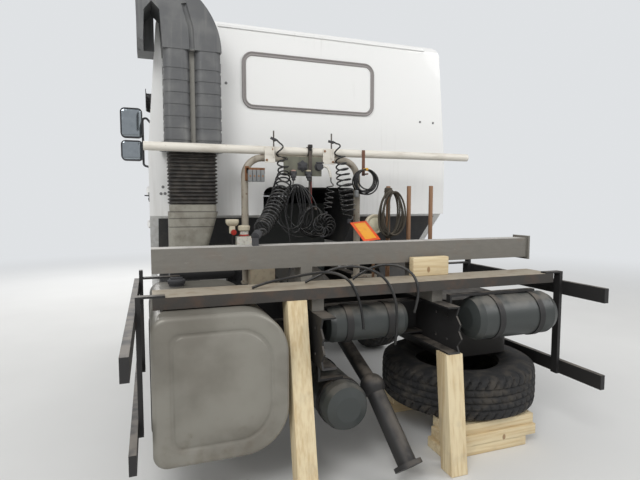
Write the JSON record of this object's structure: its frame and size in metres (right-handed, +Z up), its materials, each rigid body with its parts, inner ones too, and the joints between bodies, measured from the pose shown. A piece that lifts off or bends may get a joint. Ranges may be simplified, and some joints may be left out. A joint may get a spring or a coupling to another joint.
{
  "type": "cab-over tractor unit front half with a cut frame",
  "caption": "White tilting cab with doors and a front lid on a cut-off chassis with steered front wheels, a fuel tank, hose rack and wooden props.",
  "frame": {"origin": "on the ground, under the middle of the whole part's box", "axes": "+X to the truck's left, -Y to the front, +Z up"},
  "size_m": [3.056, 4.38, 3.08],
  "materials": {
    "white_paint": "gloss",
    "dark_lining": "matte",
    "dark_plastic": "matte",
    "seal_rubber": "matte",
    "window_glass": "polished",
    "smoked_plastic": "gloss",
    "seat_fabric": "woven",
    "grey_plastic": "matte",
    "black_rubber": "matte",
    "chassis_paint": "satin",
    "lamp_lens": "gloss",
    "engine_paint": "satin",
    "cast_aluminium": "cast",
    "pale_plastic": "translucent",
    "tank_aluminium": "dull",
    "weathered_steel": "weathered",
    "pine": "sawn",
    "tyre_rubber": "matte",
    "beige_paint": "satin",
    "rusty_steel": "rusty",
    "wheel_paint": "satin"
  },
  "bodies": {
    "chassis": {"frame_rails": "chassis_paint", "cross_members": "chassis_paint", "front_bumper": "white_paint", "headlamps": "lamp_lens", "front_axle": "chassis_paint", "front_suspension": "chassis_paint", "engine": "engine_paint", "gearbox": "cast_aluminium", "radiator": "cast_aluminium", "air_cleaner": "dark_plastic", "reservoirs": "pale_plastic", "fuel_tank": "tank_aluminium", "tank_straps": "chassis_paint", "air_tanks": "chassis_paint", "silencer": "chassis_paint", "prop_shaft": "chassis_paint", "cross_beam": "weathered_steel", "deck_channel": "weathered_steel", "wood_props": "pine", "prop_tyre": "tyre_rubber", "side_guards": "chassis_paint", "hose_frame": "beige_paint", "white_bar": "beige_paint", "stakes_and_lamp": "rusty_steel", "mudguards": "dark_plastic", "coil_hose_left": "black_rubber", "coil_lead_left": "black_rubber", "coil_hose_right": "black_rubber", "coil_lead_right": "black_rubber", "hose_pile": "black_rubber", "cable_hank": "black_rubber", "cut_hoses": "black_rubber", "gladhand": "dark_plastic"},
    "cab": {"cab_roof": "white_paint", "cab_rear_wall": "white_paint", "cab_front_panel": "white_paint", "cab_sides": "white_paint", "cab_floor": "dark_lining", "rear_window_panel": "white_paint", "rear_window_rubber": "seal_rubber", "windscreen": "window_glass", "sun_visor": "smoked_plastic", "mirrors": "dark_plastic", "dashboard": "dark_plastic", "seats_and_bunk": "seat_fabric", "intake_duct": "grey_plastic", "intake_bellows": "black_rubber"},
    "door_left": {"door_left": "white_paint", "door_glass_left": "window_glass"},
    "door_right": {"door_right": "white_paint", "door_glass_right": "window_glass"},
    "lid": {"front_lid": "white_paint"},
    "knuckle_left": {"knuckle_left": "chassis_paint"},
    "knuckle_right": {"knuckle_right": "chassis_paint"},
    "tie_rod": {"tie_rod": "chassis_paint"},
    "wheel_left": {"tyre_left": "tyre_rubber", "wheel_rim_left": "wheel_paint"},
    "wheel_right": {"tyre_right": "tyre_rubber", "wheel_rim_right": "wheel_paint"}
  },
  "joints": [
    {"name": "cab_tilt", "type": "hinge", "parent": "chassis", "child": "cab", "pos_m": [0, -2.05, 0.7], "axis": [1, 0, 0], "range_deg": [0, 45]},
    {"name": "door_left_swing", "type": "hinge", "parent": "cab", "child": "door_left", "pos_m": [1.264, -1.742, 1.5], "axis": [0, 0, -1], "range_deg": [0, 70]},
    {"name": "door_right_swing", "type": "hinge", "parent": "cab", "child": "door_right", "pos_m": [-1.264, -1.742, 1.5], "axis": [0, 0, 1], "range_deg": [0, 70]},
    {"name": "lid_swing", "type": "hinge", "parent": "cab", "child": "lid", "pos_m": [0, -2.124, 1.653], "axis": [-1, 0, 0], "range_deg": [0, 75]},
    {"name": "steer_left", "type": "hinge", "parent": "chassis", "child": "knuckle_left", "pos_m": [0.88, -0.81, 0.525], "axis": [0, 0, 1], "range_deg": [-35, 35]},
    {"name": "steer_right", "type": "hinge", "parent": "chassis", "child": "knuckle_right", "pos_m": [-0.88, -0.81, 0.525], "axis": [0, 0, 1], "range_deg": [-35, 35]},
    {"name": "tie_rod_swing", "type": "hinge", "parent": "knuckle_left", "child": "tie_rod", "pos_m": [0.88, -0.64, 0.386], "axis": [0, 0, 1], "range_deg": [-35, 35]},
    {"name": "wheel_left_spin", "type": "hinge", "parent": "knuckle_left", "child": "wheel_left", "pos_m": [1.03, -0.81, 0.525], "axis": [1, 0, 0], "continuous": true},
    {"name": "wheel_right_spin", "type": "hinge", "parent": "knuckle_right", "child": "wheel_right", "pos_m": [-1.03, -0.81, 0.525], "axis": [1, 0, 0], "continuous": true}
  ],
  "couplings": [
    {"joint": "steer_right", "follows": "steer_left", "ratio": 1},
    {"joint": "tie_rod_swing", "follows": "steer_left", "ratio": -1}
  ]
}
